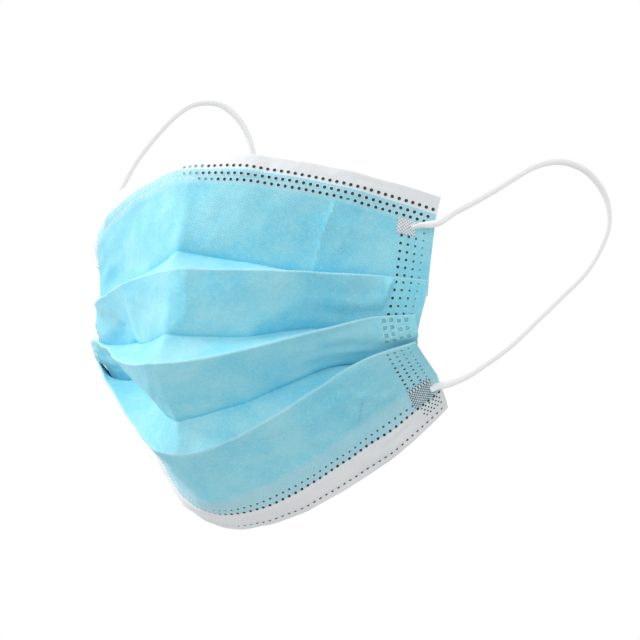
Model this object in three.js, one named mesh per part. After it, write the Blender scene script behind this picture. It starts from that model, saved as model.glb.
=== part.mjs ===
// Pleated surgical face mask with two elastic ear loops, opened into its worn bowl.
// Millimetres, +Z up, -Y to the front. The origin is the middle of the lower edge, which sits on the nose.

import * as THREE from 'three';
import { mergeVertices } from 'three/addons/utils/BufferGeometryUtils.js';

// Cut sizes of the cloth
const halfWidth = 87.5;        // from the middle to a side edge
const weldWidth = 11.5;        // side margin in which all layers are welded flat
const upperPanel = 30;         // upper edge to the first ridge, folded flat
const secondPanel = 12;        // first ridge to the second
const thirdPanel = 10.5;       // second ridge to the third
const lowerPanel = 42.5;       // third ridge to the lower edge
const pleatA = 7.5;            // depth of the first pleat
const pleatB = 10.5;           // depth of the second pleat
const pleatC = 10.5;           // depth of the third pleat
const weldTuck = 0.62;         // share of a pleat's depth that is left where the weld draws it in
const upperHem = 7.1;          // white band above the blue ply
const lowerHem = 9.2;          // white band below the blue ply
const hemFold = 17;            // from the lower edge to the end of the folded hem

// Thicknesses
const openPly = 1.0;           // each ply where the cloth is open
const weldedPly = 0.5;         // each ply where the weld presses it
const plyGap = 0.3;            // between the two plies
const foldGap = 0.3;           // between folded layers
const hemLift = 0.6;           // how far the folded hem stands above the inner ply, in ply thicknesses
const channelLift = 1.3;       // how far the wire channel stands above it, in ply thicknesses
const hemGap = 0.5;            // between a hem's face and the blue ply's raw edge
const channelTop = 0.62;       // upper end of the wire channel's crest, as a share of the lower hem
const channelFoot = 0.3;       // lower foot of the wire channel, as a share of the lower hem

// Ear loops
const loopDiameter = 2.5;
const endThickness = 1.0;      // flattened, welded end of the elastic
const rimShare = 0.6;          // share of that thickness that is left round its rim
const endGap = 0.3;            // between a welded end and the cloth, and to its cord
const upperSlip = -1.5;        // how far a cord wanders down the cloth from its end to the side edge,
const lowerSlip = 1;           // at the upper and the lower corner
const edgeLift = 1.0;          // how much higher a cord leaves the side edge

// Shares of the stretch from the middle to the weld
const pressStart = 0.8;        // where the weld starts to press the cloth

// Shape of the folds
const tuckedRise = 1.3;        // how late a strip folds up behind its ridge: over 1 is later
const mixStart = 0.3;          // shares of a half turn between which a fold goes over from the
const mixEnd = 0.7;            // direction of the panel above it to that of the panel below it
const tuckStart = 0.5;         // shares of a half turn between which the panels beside a strip
const tuckEnd = 0.8;           // come to lie one layer behind and in front of it

// Mesh fineness
const openSteps = 18;          // columns from the middle to the weld
const weldSteps = 3;           // columns across the weld
const loopSteps = 38;          // steps along a cord
const loopSides = 8;

// Lines across the mask, from the lower edge up. rise is the cloth between a line and the one below it,
// and lean is how that cloth leans forward at the middle, in degrees from upright. From the middle
// outward each line runs in a plane that is tilted by tilt. It turns back by turn over the first
// stretch, which is reach, a share of the half width, long, and by curl over the rest. lift is how many
// layers a ridge stands out where it is folded flat.
const lineTable = [
  {
    name: 'edgeLow', rise: 0, lean: 0,
    tilt: 57, turn: 41, reach: 0.32, curl: 25, lift: 0,
  },
  {
    name: 'hemLow', rise: hemFold, lean: -63,
    tilt: 57, turn: 48.5, reach: 0.245, curl: 0, lift: 0,
  },
  {
    name: 'ridgeC', rise: lowerPanel - hemFold, lean: -61.5,
    tilt: 56, turn: 48.5, reach: 0.25, curl: -8.5, lift: 3,
  },
  {
    name: 'ridgeB', rise: thirdPanel + pleatC + pleatC, lean: -33,
    tilt: 29.5, turn: 49.5, reach: 0.275, curl: -10, lift: 0,
  },
  {
    name: 'ridgeA', rise: secondPanel + pleatB + pleatB, lean: 5.5,
    tilt: 3, turn: 36.5, reach: 0.31, curl: 8, lift: 0,
  },
  {
    name: 'plyTop', rise: upperPanel + pleatA + pleatA - upperHem, lean: 8.5,
    tilt: -19.5, turn: 29.5, reach: 0.30, curl: 14.5, lift: 0,
  },
  {
    name: 'edgeTop', rise: upperHem, lean: 24.5,
    tilt: -20, turn: 27.5, reach: 0.335, curl: 15.5, lift: 0,
  },
];

// Pleats from the top down. quarter is where the strip of the pleat stands straight out, as a share of
// the stretch from the middle to the weld, and ease is how fast it turns up to there.
const pleatTable = [
  { ridge: 'ridgeA', above: 'plyTop', below: 'ridgeB', depth: pleatA, quarter: 0.72, ease: 0.72 },
  { ridge: 'ridgeB', above: 'ridgeA', below: 'ridgeC', depth: pleatB, quarter: 0.72, ease: 0.86 },
  { ridge: 'ridgeC', above: 'ridgeB', below: 'hemLow', depth: pleatC, quarter: 0.68, ease: 0.82 },
];

const radians = THREE.MathUtils.degToRad;
const openWidth = halfWidth - weldWidth;
const maskHeight = upperPanel + secondPanel + thirdPanel + lowerPanel;

// Signed distances across the cloth, from the left side edge to the right one
const halfStations = [
  ...Array.from({ length: openSteps }, (_, k) => openWidth * k / openSteps),
  ...Array.from({ length: weldSteps + 1 }, (_, k) => openWidth + weldWidth * k / weldSteps),
];
const stations = [...halfStations.slice(1).reverse().map((s) => -s), ...halfStations];

// 0 in the open cloth, 1 in the weld
function weldShare(s) {
  return THREE.MathUtils.smoothstep(Math.abs(s), pressStart * openWidth, openWidth);
}

function plyThickness(s) {
  return THREE.MathUtils.lerp(openPly, weldedPly, weldShare(s));
}

function layerPitch(s) {
  return 2 * plyThickness(s) + plyGap + foldGap;
}

function lineCurve(line) {
  const heading = (s) => radians(line.turn) * Math.tanh(s / (line.reach * halfWidth))
    + radians(line.curl) * (s / halfWidth) ** 2;
  const half = [line.middle.clone()];
  let out = 0;
  let back = 0;
  for (let k = 1; k < halfStations.length; k += 1) {
    const step = halfStations[k] - halfStations[k - 1];
    const angle = heading((halfStations[k] + halfStations[k - 1]) / 2);
    out += Math.cos(angle) * step;
    back += Math.sin(angle) * step;
    half.push(new THREE.Vector3(out, line.middle.y + back * Math.cos(radians(line.tilt)),
      line.middle.z + back * Math.sin(radians(line.tilt))));
  }
  const mirrored = half.slice(1).reverse().map((p) => new THREE.Vector3(-p.x, p.y, p.z));
  return [...mirrored, ...half];
}

function makeLines() {
  const lines = {};
  const middle = new THREE.Vector3();
  for (const row of lineTable) {
    middle.y += row.rise * Math.sin(radians(row.lean));
    middle.z += row.rise * Math.cos(radians(row.lean));
    const line = { ...row, middle: middle.clone() };
    lines[row.name] = { ...line, curve: lineCurve(line) };
  }
  return lines;
}

const lines = makeLines();

function along(a, b) {
  return b.clone().sub(a).normalize();
}

function mix(a, b, share) {
  return a.clone().lerp(b, share);
}

// How far a pleat's strip has turned, from hanging in line with the cloth to folded up behind the ridge
function stripTurn(pleat, s) {
  const quarter = pleat.quarter * openWidth;
  const d = Math.abs(s);
  if (d <= quarter) return Math.PI / 2 * (d / quarter) ** pleat.ease;
  const rest = Math.min(1, (d - quarter) / (openWidth - quarter));
  return Math.PI / 2 * (1 + rest ** tuckedRise);
}

function tangentAt(curve, column) {
  return along(curve[Math.max(0, column - 1)], curve[Math.min(curve.length - 1, column + 1)]);
}

function flatten(direction, tangent) {
  return direction.addScaledVector(tangent, -direction.dot(tangent)).normalize();
}

// The four rows of one pleat at one column: end of the panel above, both ends of the strip and the
// start of the panel below
function foldPleat(pleat, column) {
  const s = stations[column];
  const pitch = layerPitch(s);
  const ridgeLine = lines[pleat.ridge];
  const tangent = tangentAt(ridgeLine.curve, column);
  const ridge = ridgeLine.curve[column].clone();
  const downAbove = flatten(along(lines[pleat.above].curve[column], ridge), tangent);
  const downBelow = flatten(along(ridge, lines[pleat.below].curve[column]), tangent);
  const turn = stripTurn(pleat, s);
  const changed = THREE.MathUtils.smoothstep(turn, mixStart * Math.PI, mixEnd * Math.PI);
  const down = mix(downAbove, downBelow, changed).normalize();
  const outward = down.clone().cross(tangent).normalize();
  const towards = (angle) => {
    const part = down.clone().multiplyScalar(Math.cos(angle));
    return part.addScaledVector(outward, Math.sin(angle));
  };
  ridge.addScaledVector(outward, ridgeLine.lift * pitch * weldShare(s));
  const stripEnd = ridge.clone().addScaledVector(towards(turn / 2), -pitch);
  const depth = pleat.depth * THREE.MathUtils.lerp(1, weldTuck, weldShare(s));
  const stripStart = stripEnd.clone().addScaledVector(towards(turn), -depth);
  const panelEnd = stripStart.clone().addScaledVector(towards(turn / 2), -pitch);
  const folded = THREE.MathUtils.smoothstep(turn, tuckStart * Math.PI, tuckEnd * Math.PI);
  return { panelEnd, stripStart, stripEnd, ridge, down, outward, folded, pitch };
}

// The share of the way from one point to another at which a panel passes a third one
function passingShare(from, to, mark, down, least, most) {
  const way = to.clone().sub(from).dot(down);
  return THREE.MathUtils.clamp(mark.clone().sub(from).dot(down) / way, least, most);
}

// Keeps a panel's point one layer behind the ridge end of the strip below it
function passBehind(point, fold) {
  const gap = fold.stripEnd.clone().sub(point).dot(fold.outward);
  return point.addScaledVector(fold.outward, -fold.folded * Math.max(0, fold.pitch - gap));
}

// Keeps a panel's point one layer in front of the valley end of the strip above it
function passInFront(point, fold) {
  const gap = point.clone().sub(fold.stripStart).dot(fold.outward);
  return point.addScaledVector(fold.outward, fold.folded * Math.max(0, fold.pitch - gap));
}

// One row of the cloth's middle surface. blue says that the outer ply covers it, and lift is how far a
// folded hem stands above the inner ply, as a share of the ply's thickness.
function row(point, t, blue = true, lift = 0) {
  return { point, t, blue, lift };
}

// The least and the most share of the way down a panel at which it passes the fold beside it
const passTable = {
  endOfTop: [0.65, 0.75],
  startBelowA: [0.3, 0.36],
  endAboveB: [0.5, 0.65],
  startBelowB: [0.3, 0.55],
  endAboveC: [0.65, 0.85],
  startBelowC: [0.35, 0.5],
};
const topMiddle = 0.35;        // share of the way down the top panel of its middle row

// All rows of the cloth at one column, from the upper edge to the lower one. t is the distance from the
// upper edge down the folded mask.
function sectionRows(column) {
  const [a, b, c] = pleatTable.map((pleat) => foldPleat(pleat, column));
  const at = (name) => lines[name].curve[column];
  const ridgeA = upperPanel;
  const ridgeB = upperPanel + secondPanel;
  const ridgeC = upperPanel + secondPanel + thirdPanel;
  const hemStart = mix(at('plyTop'), at('edgeTop'), hemGap / upperHem);
  const plyEnd = mix(at('edgeLow'), at('hemLow'), lowerHem / hemFold);
  const hemEnd = (share) => mix(at('edgeLow'), plyEnd, share);
  const behind = (from, fold, [least, most]) => {
    const share = passingShare(from, fold.panelEnd, fold.stripEnd, fold.down, least, most);
    return passBehind(mix(from, fold.panelEnd, share), fold);
  };
  const inFront = (fold, to, [least, most]) => {
    const share = passingShare(fold.ridge, to, fold.stripStart, fold.down, least, most);
    return passInFront(mix(fold.ridge, to, share), fold);
  };
  return [
    row(at('edgeTop').clone(), 0, false, hemLift),
    row(hemStart, upperHem - hemGap, false, hemLift),
    row(at('plyTop').clone(), upperHem),
    row(mix(at('plyTop'), a.panelEnd, topMiddle), upperHem + topMiddle * (upperPanel + pleatA - upperHem)),
    row(behind(at('plyTop'), a, passTable.endOfTop), ridgeA),
    row(a.panelEnd, ridgeA + pleatA),
    row(a.stripStart, ridgeA + pleatA),
    row(a.stripEnd, ridgeA),
    row(a.ridge, ridgeA),
    row(inFront(a, b.panelEnd, passTable.startBelowA), ridgeA + pleatA),
    row(behind(a.ridge, b, passTable.endAboveB), ridgeB),
    row(b.panelEnd, ridgeB + pleatB),
    row(b.stripStart, ridgeB + pleatB),
    row(b.stripEnd, ridgeB),
    row(b.ridge, ridgeB),
    row(inFront(b, c.panelEnd, passTable.startBelowB), ridgeB + weldTuck * pleatB),
    row(behind(b.ridge, c, passTable.endAboveC), ridgeC),
    row(c.panelEnd, ridgeC + pleatC),
    row(c.stripStart, ridgeC + pleatC),
    row(c.stripEnd, ridgeC),
    row(c.ridge, ridgeC),
    row(inFront(c, at('hemLow'), passTable.startBelowC), ridgeC + pleatC),
    row(at('hemLow').clone(), maskHeight - hemFold),
    row(plyEnd, maskHeight - lowerHem),
    row(hemEnd(1 - hemGap / lowerHem), maskHeight - lowerHem + hemGap, false, hemLift),
    row(hemEnd(channelTop), maskHeight - channelTop * lowerHem, false, channelLift),
    row(hemEnd(channelFoot), maskHeight - channelFoot * lowerHem, false, hemLift),
    row(at('edgeLow').clone(), maskHeight, false, hemLift),
  ];
}

const sections = stations.map((_, column) => sectionRows(column));

// The way out of the cloth at each row, long enough at a crease to keep the wall's thickness
function outwardOf(section, nextSection, lastSection) {
  const normals = [];
  for (let j = 1; j < section.length; j += 1) {
    const middleOf = (rows) => mix(rows[j - 1].point, rows[j].point, 0.5);
    const across = along(middleOf(lastSection), middleOf(nextSection));
    normals.push(along(section[j - 1].point, section[j].point).cross(across).normalize());
  }
  return section.map((_, j) => {
    const first = normals[Math.max(0, j - 1)];
    const second = normals[Math.min(normals.length - 1, j)];
    return first.clone().add(second).divideScalar(Math.max(0.5, 1 + first.dot(second)));
  });
}

const outwards = sections.map((section, k) => outwardOf(section,
  sections[Math.min(sections.length - 1, k + 1)], sections[Math.max(0, k - 1)]));

function offsetPoint(column, j, distance) {
  return sections[column][j].point.clone().addScaledVector(outwards[column][j], distance);
}

// A closed wall between a front and a back grid of points of the same size
function wall(front, back) {
  const columns = front.length;
  const rows = front[0].length;
  const points = [...front.flat(), ...back.flat()];
  const index = (face, k, j) => face * columns * rows + k * rows + j;
  const faces = [];
  const quad = (a, b, c, d) => faces.push(a, b, c, a, c, d);
  for (let k = 0; k + 1 < columns; k += 1) {
    for (let j = 0; j + 1 < rows; j += 1) {
      quad(index(0, k, j), index(0, k, j + 1), index(0, k + 1, j + 1), index(0, k + 1, j));
      quad(index(1, k, j), index(1, k + 1, j), index(1, k + 1, j + 1), index(1, k, j + 1));
    }
    quad(index(0, k, 0), index(0, k + 1, 0), index(1, k + 1, 0), index(1, k, 0));
    quad(index(0, k, rows - 1), index(1, k, rows - 1), index(1, k + 1, rows - 1), index(0, k + 1, rows - 1));
  }
  for (let j = 0; j + 1 < rows; j += 1) {
    quad(index(0, 0, j), index(1, 0, j), index(1, 0, j + 1), index(0, 0, j + 1));
    const last = columns - 1;
    quad(index(0, last, j), index(0, last, j + 1), index(1, last, j + 1), index(1, last, j));
  }
  const geometry = new THREE.BufferGeometry().setFromPoints(points);
  geometry.setIndex(faces);
  geometry.computeVertexNormals();
  return geometry;
}

function outerPly() {
  const blue = sections[0].map((r, j) => j).filter((j) => sections[0][j].blue);
  const face = (share) => stations.map((s, k) => {
    const distance = plyGap / 2 + share * plyThickness(s);
    return blue.map((j) => offsetPoint(k, j, distance));
  });
  return wall(face(1), face(0));
}

function innerPly() {
  const face = (distance) => stations.map((s, k) => sections[k].map((r, j) => (
    offsetPoint(k, j, distance(r, s)))));
  const front = face((r, s) => -plyGap / 2 + r.lift * plyThickness(s));
  const back = face((r, s) => -plyGap / 2 - plyThickness(s));
  return wall(front, back);
}

// A point on the outer ply's front face, above or below all pleats, at a distance s from the middle and
// t from the upper edge, and height above the face
function facePoint(s, t, height) {
  const column = Math.min(stations.length - 2, Math.max(0, stations.findLastIndex((v) => v <= s)));
  const shareS = (s - stations[column]) / (stations[column + 1] - stations[column]);
  const rows = sections[column];
  let j = rows.findLastIndex((r) => r.t <= t);
  if (t < upperPanel) j = rows.findIndex((r) => r.t > t) - 1;
  const shareT = (t - rows[j].t) / (rows[j + 1].t - rows[j].t);
  const lift = plyGap / 2 + plyThickness(s) + height;
  const left = mix(offsetPoint(column, j, lift), offsetPoint(column, j + 1, lift), shareT);
  const right = mix(offsetPoint(column + 1, j, lift), offsetPoint(column + 1, j + 1, lift), shareT);
  return mix(left, right, shareS);
}

// Where the elastic's flattened ends are welded on, each a patch of the cloth's face. inner and outer
// are distances from the middle, and top and bottom distances from the upper edge of the folded mask.
const endTable = [
  {
    name: 'loop_end_upper',
    inner: openWidth - 1.5,
    outer: openWidth + 5,
    top: upperHem + 4,
    bottom: upperHem + 9.5,
  },
  {
    name: 'loop_end_lower',
    inner: openWidth - 0.5,
    outer: openWidth + 8.5,
    top: maskHeight - hemFold - 0.5,
    bottom: maskHeight - lowerHem - 0.8,
  },
];

function loopEnd(end, side) {
  const across = [0, 0.35, 0.65, 1].map((share) => side * THREE.MathUtils.lerp(end.inner, end.outer, share));
  if (side < 0) across.reverse();
  const down = [0, 0.25, 0.75, 1].map((share) => THREE.MathUtils.lerp(end.top, end.bottom, share));
  const crown = (k, j) => (k % 3 === 0 || j % 3 === 0 ? rimShare : 1);
  const front = across.map((s, k) => down.map((t, j) => (
    facePoint(s, t, endGap + endThickness * crown(k, j)))));
  const back = across.map((s) => down.map((t) => facePoint(s, t, endGap)));
  return wall(front, back);
}

// The ear loops' free routes, from the upper corner round to the lower one
const loopRoutes = {
  right: [
    [79, -2, 106], [81.5, 7, 112], [84.5, 17, 119], [87.5, 27, 126.5], [90, 36.5, 133], [93, 47, 138],
    [96, 57.5, 140], [99, 68, 138.5], [101, 77, 132.5], [100.5, 81.5, 123.5], [97.5, 81, 114], [93.5, 77, 104],
    [88, 69, 93.5], [82.5, 59, 82], [77.5, 48, 70.5], [73, 38, 62], [70, 29.5, 56],
  ],
  left: [
    [-76.5, -3, 111.5], [-74.5, -1, 120.5], [-71, 1, 131.5], [-66.5, 5, 144.5], [-61, 9, 155.5], [-55.5, 12.5, 163.5],
    [-50, 16, 169], [-45, 19.5, 171], [-40, 23.5, 171], [-35, 28, 167.5], [-31.5, 32, 161],
    [-30, 35.5, 152], [-31.5, 38, 139.5], [-35.5, 38.5, 125.5], [-41, 37.5, 111.5], [-47.5, 36, 97.5],
    [-54.5, 34, 84.5], [-61.5, 31, 72.5], [-66.5, 27, 63.5],
  ],
};

// The cord's way from its welded end to the side edge
function cordEnd(end, side, slip) {
  const t = (end.top + end.bottom) / 2;
  const height = loopDiameter / 2 + endGap;
  return [
    facePoint(side * (end.outer + endGap), t, height),
    facePoint(side * halfWidth, t + slip, height + edgeLift),
  ];
}

function earLoop(side) {
  const [upper, lower] = endTable;
  const free = loopRoutes[side > 0 ? 'right' : 'left'].map((p) => new THREE.Vector3(...p));
  const points = [...cordEnd(upper, side, upperSlip), ...free, ...cordEnd(lower, side, lowerSlip).reverse()];
  const corners = Array.from({ length: loopSides }, (_, k) => {
    const angle = 2 * Math.PI * k / loopSides;
    return new THREE.Vector2(loopDiameter / 2 * Math.cos(angle), loopDiameter / 2 * Math.sin(angle));
  });
  const section = new THREE.Shape(corners);
  const extrudePath = new THREE.CatmullRomCurve3(points);
  return new THREE.ExtrudeGeometry(section, { steps: loopSteps, bevelEnabled: false, extrudePath });
}

function material(name, colour, roughness) {
  return new THREE.MeshStandardMaterial({ name, color: colour, roughness, metalness: 0 });
}

const blueCloth = material('blue_nonwoven', 0x8fd3e8, 0.8);
const whiteCloth = material('white_nonwoven', 0xf1f3f4, 0.85);
const elastic = material('elastic', 0xf4f5f6, 0.7);

function addMesh(group, name, geometry, finish) {
  const merged = geometry.clone();
  merged.deleteAttribute('normal');
  if (merged.attributes.uv) merged.deleteAttribute('uv');
  const mesh = new THREE.Mesh(mergeVertices(merged, 1e-4), finish);
  mesh.geometry.computeVertexNormals();
  mesh.name = name;
  group.add(mesh);
}

const mask = new THREE.Group();
addMesh(mask, 'outer_ply', outerPly(), blueCloth);
addMesh(mask, 'inner_ply', innerPly(), whiteCloth);
for (const side of [1, -1]) {
  const suffix = side > 0 ? 'right' : 'left';
  for (const end of endTable) {
    addMesh(mask, `${end.name}_${suffix}`, loopEnd(end, side), elastic);
  }
  addMesh(mask, `ear_loop_${suffix}`, earLoop(side), elastic);
}

export default mask;
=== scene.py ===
# Pleated surgical face mask with two elastic ear loops: cloth, hems, welds and knitted elastic.
# The cloth is worked out in millimetres and degrees, and turned into metres when a mesh is made.

import math
from collections import namedtuple

import bpy
import numpy as np
from mathutils import Matrix, Vector, noise


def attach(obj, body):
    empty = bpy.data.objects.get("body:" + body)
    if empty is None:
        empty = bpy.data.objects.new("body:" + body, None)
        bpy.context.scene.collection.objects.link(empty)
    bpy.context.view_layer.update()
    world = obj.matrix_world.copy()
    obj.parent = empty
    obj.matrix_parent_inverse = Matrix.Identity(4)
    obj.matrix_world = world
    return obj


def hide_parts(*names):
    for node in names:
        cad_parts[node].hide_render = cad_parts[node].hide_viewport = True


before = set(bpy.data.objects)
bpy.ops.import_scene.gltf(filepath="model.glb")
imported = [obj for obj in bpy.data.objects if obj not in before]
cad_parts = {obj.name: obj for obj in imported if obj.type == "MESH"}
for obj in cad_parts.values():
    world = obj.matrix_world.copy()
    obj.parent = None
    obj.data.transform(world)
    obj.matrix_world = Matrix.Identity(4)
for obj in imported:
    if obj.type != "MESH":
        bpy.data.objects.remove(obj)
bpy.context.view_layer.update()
MM = 0.001

# Cut sizes of the cloth
HALF_WIDTH = 87.5
WELD_WIDTH = 11.5
UPPER_PANEL = 30.0
SECOND_PANEL = 12.0
THIRD_PANEL = 10.5
LOWER_PANEL = 42.5
PLEAT_A = 7.5
PLEAT_B = 10.5
PLEAT_C = 10.5
WELD_TUCK = 0.62          # share of a pleat's depth that the weld leaves
UPPER_HEM = 7.1           # white band above the blue ply
LOWER_HEM = 9.2           # white band below the blue ply
UPPER_FOLD = 12.0         # from the upper edge to the raw end of the folded hem
LOWER_FOLD = 17.0         # from the lower edge to the raw end of the folded hem
WIRE_NEAR = 2.3           # wire channel's distances from the lower edge
WIRE_FAR = 9.2

# Distances from the cloth's middle surface
INNER_BACK = -0.24
INNER_FRONT = -0.04
OUTER_BACK = 0.04
OUTER_FRONT = 0.22
LEG_BACK = 0.02           # the folded leg of the inner ply
LEG_FRONT = 0.20
OVER_LEG = 0.20           # how much higher the outer ply lies over a folded leg
WIRE_RISE = 0.55          # how far the wire pushes the hem out
WELD_PITCH = 0.52         # between folded layers in the weld
CLEAR_PITCH = 1.5         # how many pitches a panel keeps off a fold that it passes
OPEN_PITCH = 0.50         # between folded layers in the open cloth
PRESS_START = 0.8         # where the weld starts to press the cloth, as a share of the open half width
FRONT_REACH = 1.12        # how much further than a fold's valley the panel below it lies on it
WELD_CALM = 0.85          # how much less the cloth is smoothed in the weld
SHORT_STEP = 0.3          # rows closer than this on the laid-out cloth belong to a bend
BEND_LENGTH = 0.15        # cloth between two rows of a round bend
ON_LINE = 0.01            # how near a row has to be to count as on a line

OPEN_WIDTH = HALF_WIDTH - WELD_WIDTH
HEIGHT = UPPER_PANEL + SECOND_PANEL + THIRD_PANEL + LOWER_PANEL
RIDGE_A = UPPER_PANEL
RIDGE_B = RIDGE_A + SECOND_PANEL
RIDGE_C = RIDGE_B + THIRD_PANEL
CLOTH_LENGTH = HEIGHT + 2 * (PLEAT_A + PLEAT_B + PLEAT_C)

# Columns across the cloth, from the left side edge to the right one
HALF_STATIONS = np.concatenate([
    np.linspace(0, OPEN_WIDTH - 12, 78),
    np.linspace(OPEN_WIDTH - 12, OPEN_WIDTH, 26)[1:],
    np.linspace(OPEN_WIDTH, HALF_WIDTH, 17)[1:],
])
STATIONS = np.concatenate([-HALF_STATIONS[:0:-1], HALF_STATIONS])

# left is how much further, in degrees, the left end of a line curls back than the right one.
# out and drop move a line's ends outwards and down, where the welded cloth sags.
Line = namedtuple("Line", "name rise lean tilt turn reach curl lift left out drop")
LINES = [
    Line("edgeLow", 0, 0, 57, 41, 0.32, 25, 0, 0, 0, 0),
    Line("hemLow", LOWER_FOLD, -63, 57, 48.5, 0.245, 0, 0, 0, 1.2, 0),
    Line("ridgeC", LOWER_PANEL - LOWER_FOLD, -61.5, 56, 48.5, 0.25, -8.5, 0.5, 16, 2.2, 3.6),
    Line("ridgeB", THIRD_PANEL + 2 * PLEAT_C, -33, 29.5, 49.5, 0.275, -10, 0, 8, 2.0, 3.2),
    Line("ridgeA", SECOND_PANEL + 2 * PLEAT_B, 5.5, 3, 36.5, 0.31, 8, 0, 18, 0.5, 0.4),
    Line("plyTop", UPPER_PANEL + 2 * PLEAT_A - UPPER_HEM, 8.5, -19.5, 29.5, 0.30, 14.5, 0, 20, 0, 0),
    Line("edgeTop", UPPER_HEM, 24.5, -20, 27.5, 0.335, 15.5, 0, 20, 0, 0),
]

Pleat = namedtuple("Pleat", "ridge above below depth quarter ease")
PLEATS = [
    Pleat("ridgeA", "plyTop", "ridgeB", PLEAT_A, 0.72, 0.72),
    Pleat("ridgeB", "ridgeA", "ridgeC", PLEAT_B, 0.72, 0.86),
    Pleat("ridgeC", "ridgeB", "hemLow", PLEAT_C, 0.68, 0.82),
]

# Rows of one stretch of the cloth. path is the distance from the upper edge on the laid-out cloth,
# shown the one on the folded cloth, and panel is -1 on the strips that the pleats hide.
Rows = namedtuple("Rows", "points path shown panel")


def unit(v):
    return v / np.linalg.norm(v, axis=-1, keepdims=True)


def dot(a, b):
    return np.sum(a * b, axis=-1, keepdims=True)


def smoothstep(x, low, high):
    share = np.clip((x - low) / (high - low), 0, 1)
    return share * share * (3 - 2 * share)


def mix(a, b, share):
    return a + (b - a) * share


WELD_SHARE = smoothstep(np.abs(STATIONS), PRESS_START * OPEN_WIDTH, OPEN_WIDTH)[:, None]
PITCH = mix(OPEN_PITCH, WELD_PITCH, WELD_SHARE)


# Stretches from the middle outward over which the ends of the lines change
CURL_STRETCH = (56, 78)
OUT_STRETCH = (58, 84)
DROP_STRETCH = (70, 92)


def half_curve(line, middle, extra):
    steps = np.diff(HALF_STATIONS)
    way = (HALF_STATIONS[1:] + HALF_STATIONS[:-1]) / 2
    heading = np.radians(line.turn) * np.tanh(way / (line.reach * HALF_WIDTH))
    heading += np.radians(line.curl) * (way / HALF_WIDTH) ** 2
    heading += np.radians(extra) * smoothstep(way, *CURL_STRETCH)
    out = np.concatenate([[0], np.cumsum(np.cos(heading) * steps)])
    back = np.concatenate([[0], np.cumsum(np.sin(heading) * steps)])
    out += line.out * smoothstep(HALF_STATIONS, *OUT_STRETCH)
    drop = line.drop * smoothstep(HALF_STATIONS, *DROP_STRETCH)
    tilt = math.radians(line.tilt)
    y = middle[0] + back * math.cos(tilt)
    z = middle[1] + back * math.sin(tilt) - drop
    return np.stack([out, y, z], axis=1)


def line_curve(line, middle):
    left = half_curve(line, middle, line.left)[:0:-1] * [-1, 1, 1]
    return np.concatenate([left, half_curve(line, middle, 0)])


def make_curves():
    curves = {}
    y = z = 0.0
    for line in LINES:
        y += line.rise * math.sin(math.radians(line.lean))
        z += line.rise * math.cos(math.radians(line.lean))
        curves[line.name] = line_curve(line, (y, z))
    return curves


CURVES = make_curves()
LIFTS = {line.name: line.lift for line in LINES}


def strip_turn(pleat):
    """How far a pleat's strip has turned at each column, from in line with the cloth to folded up."""
    quarter = pleat.quarter * OPEN_WIDTH
    d = np.abs(STATIONS)
    near = math.pi / 2 * (np.minimum(d, quarter) / quarter) ** pleat.ease
    rest = np.clip((d - quarter) / (OPEN_WIDTH - quarter), 0, 1)
    return np.where(d <= quarter, near, math.pi / 2 * (1 + rest ** 1.3))[:, None]


def tangents(curve):
    ahead = np.concatenate([curve[1:], curve[-1:]])
    behind = np.concatenate([curve[:1], curve[:-1]])
    return unit(ahead - behind)


def flatten(direction, tangent):
    return unit(direction - tangent * dot(direction, tangent))


class Fold:
    """The corner points of one pleat at every column, and the directions round them."""

    def __init__(self, pleat):
        curve = CURVES[pleat.ridge]
        tangent = tangents(curve)
        above = flatten(unit(curve - CURVES[pleat.above]), tangent)
        below = flatten(unit(CURVES[pleat.below] - curve), tangent)
        self.turn = strip_turn(pleat)
        self.down = unit(mix(above, below, smoothstep(self.turn, 0.3 * math.pi, 0.7 * math.pi)))
        self.outward = unit(np.cross(self.down, tangent))
        self.ridge = curve + self.outward * LIFTS[pleat.ridge] * PITCH * WELD_SHARE
        self.strip_end = self.ridge - PITCH * self.towards(self.turn / 2)
        depth = pleat.depth * mix(1, WELD_TUCK, WELD_SHARE)
        self.strip_start = self.strip_end - depth * self.towards(self.turn)
        self.panel_end = self.strip_start - PITCH * self.towards(self.turn / 2)
        self.folded = smoothstep(self.turn, 0.5 * math.pi, 0.8 * math.pi)

    def towards(self, angle):
        return self.down * np.cos(angle) + self.outward * np.sin(angle)

    def bend(self, first, last, way_in, way_out, count):
        """Points on the round bend between two corner points."""
        handle = PITCH * mix(1 / 3, 2 / 3, self.turn / math.pi)
        a, b, c, d = first, first + handle * way_in, last - handle * way_out, last
        points = []
        for share in np.arange(1, count + 1) / (count + 1):
            rest = 1 - share
            near = rest ** 3 * a + 3 * rest ** 2 * share * b
            points.append(near + 3 * rest * share ** 2 * c + share ** 3 * d)
        return np.stack(points, axis=1)


FOLD_A, FOLD_B, FOLD_C = [Fold(pleat) for pleat in PLEATS]


def passing_share(start, end, mark, down, least, most):
    way = dot(end - start, down)
    return np.clip(dot(mark - start, down) / way, least, most)


def behind(start, fold, least, most):
    """The share at which the panel above a fold goes behind it, and its point there."""
    share = passing_share(start, fold.panel_end, fold.strip_end, fold.down, least, most)
    point = mix(start, fold.panel_end, share)
    gap = dot(fold.strip_end - point, fold.outward)
    return share, point - fold.outward * fold.folded * np.maximum(0, CLEAR_PITCH * PITCH - gap)


def in_front(fold, end, least, most):
    """The share at which the panel below a fold leaves the fold's valley, and its point there."""
    share = FRONT_REACH * passing_share(fold.ridge, end, fold.strip_start, fold.down, least, most)
    point = mix(fold.ridge, end, share)
    gap = dot(point - fold.strip_start, fold.outward)
    return share, point + fold.outward * fold.folded * np.maximum(0, CLEAR_PITCH * PITCH - gap)


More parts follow.
